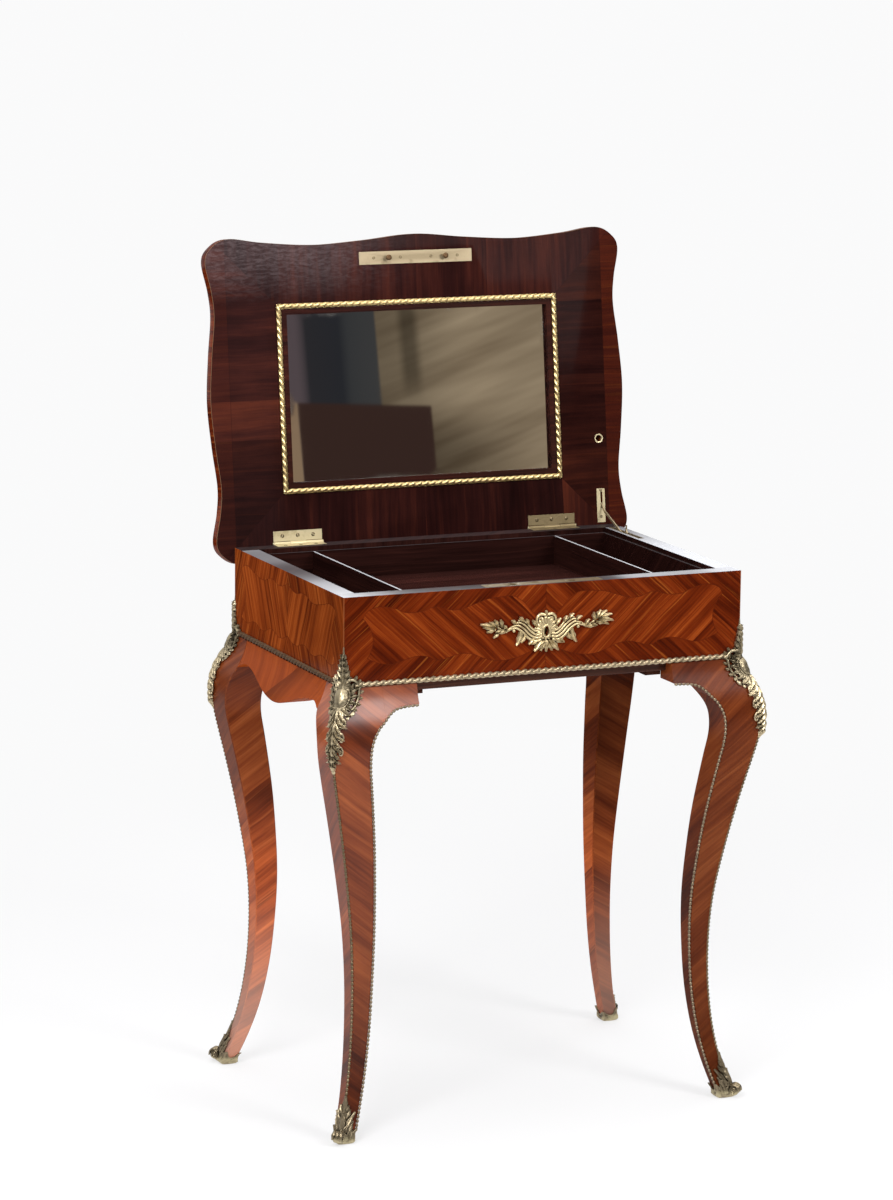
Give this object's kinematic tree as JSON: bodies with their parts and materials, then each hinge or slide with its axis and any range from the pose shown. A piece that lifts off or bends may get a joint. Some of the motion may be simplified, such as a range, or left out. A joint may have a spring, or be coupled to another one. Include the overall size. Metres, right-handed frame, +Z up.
{
  "type": "work table",
  "caption": "Veneered work table on cabriole legs with gilt mounts, a shallow compartmented tray and a hinged serpentine lid that holds a framed mirror and stands open on a stay.",
  "frame": {"origin": "middle of the part's box in X and Y, on the floor under the soles", "axes": "+Z up, -Y towards the front with the keyhole, +X to the right seen from the front"},
  "size_m": [0.6294, 0.4962, 1.138],
  "materials": {
    "kingwood": "polished quartered veneer",
    "rosewood": "dark glossy crossbanded veneer",
    "dark_wood": "dark stained satin",
    "carcass_wood": "plain unpolished",
    "gilt_bronze": "chased, worn gilding",
    "brass": "satin, tarnished",
    "mirror": "silvered glass"
  },
  "bodies": {
    "case": {"case_front": "kingwood", "case_back": "kingwood", "case_left": "kingwood", "case_right": "kingwood", "case_bottom": "carcass_wood", "tray_bearer_left": "carcass_wood", "tray_bearer_right": "carcass_wood", "tray_floor": "dark_wood", "tray_frame": "dark_wood", "tray_partition_left": "dark_wood", "tray_partition_right": "dark_wood", "leg_front_left": "kingwood", "leg_front_right": "kingwood", "leg_rear_left": "kingwood", "leg_rear_right": "kingwood", "front_ear_left": "kingwood", "front_ear_right": "kingwood", "apron_left": "kingwood", "apron_right": "kingwood", "apron_back": "kingwood", "front_rail": "carcass_wood", "drawer_runner_left": "carcass_wood", "drawer_runner_right": "carcass_wood", "knee_mount_front_left": "gilt_bronze", "knee_mount_front_right": "gilt_bronze", "knee_mount_rear_left": "gilt_bronze", "knee_mount_rear_right": "gilt_bronze", "sabot_front_left": "gilt_bronze", "sabot_front_right": "gilt_bronze", "sabot_rear_left": "gilt_bronze", "sabot_rear_right": "gilt_bronze", "leg_arris_trim_front_left": "gilt_bronze", "leg_arris_trim_front_right": "gilt_bronze", "leg_arris_trim_rear_left": "gilt_bronze", "leg_arris_trim_rear_right": "gilt_bronze", "leg_inner_trim_left": "gilt_bronze", "leg_inner_trim_right": "gilt_bronze", "base_moulding_front": "gilt_bronze", "base_moulding_left": "gilt_bronze", "base_moulding_right": "gilt_bronze", "base_moulding_back": "gilt_bronze", "escutcheon": "gilt_bronze", "lock_case": "brass", "lock_selvage": "brass", "stay_track": "brass", "hinge_left_case_leaf": "brass", "hinge_right_case_leaf": "brass", "hinge_left_pin": "brass", "hinge_right_pin": "brass"},
    "lid": {"lid_board": "rosewood", "mirror_glass": "mirror", "mirror_slip": "dark_wood", "mirror_border": "gilt_bronze", "strike_plate": "brass", "stay_plate": "brass", "hinge_left_lid_leaf": "brass", "hinge_right_lid_leaf": "brass"},
    "stay_arm": {"stay_arm": "brass"},
    "stay_slider": {"stay_slider": "brass"},
    "lock_bolt": {"lock_bolt": "brass"}
  },
  "joints": [
    {"name": "lid_hinge", "type": "hinge", "parent": "case", "child": "lid", "pos_m": [0, 0.178, 0.7253], "axis": [1, 0, 0], "range_deg": [0, 97]},
    {"name": "stay_arm_pivot", "type": "hinge", "parent": "lid", "child": "stay_arm", "pos_m": [0.2691, 0.18407, 0.75176], "axis": [1, 0, 0], "range_deg": [-112, 0]},
    {"name": "stay_slide", "type": "slide", "parent": "case", "child": "stay_slider", "axis": [0, -1, 0], "range_m": [0, 0.0391]},
    {"name": "lock_bolt_slide", "type": "slide", "parent": "case", "child": "lock_bolt", "axis": [1, 0, 0], "range_m": [0, 0.007]}
  ],
  "couplings": [
    {"joint": "stay_arm_pivot", "follows": "lid_hinge", "ratio": -1.1543},
    {"joint": "stay_slide", "follows": "lid_hinge", "m_per_rad": 0.023048}
  ]
}
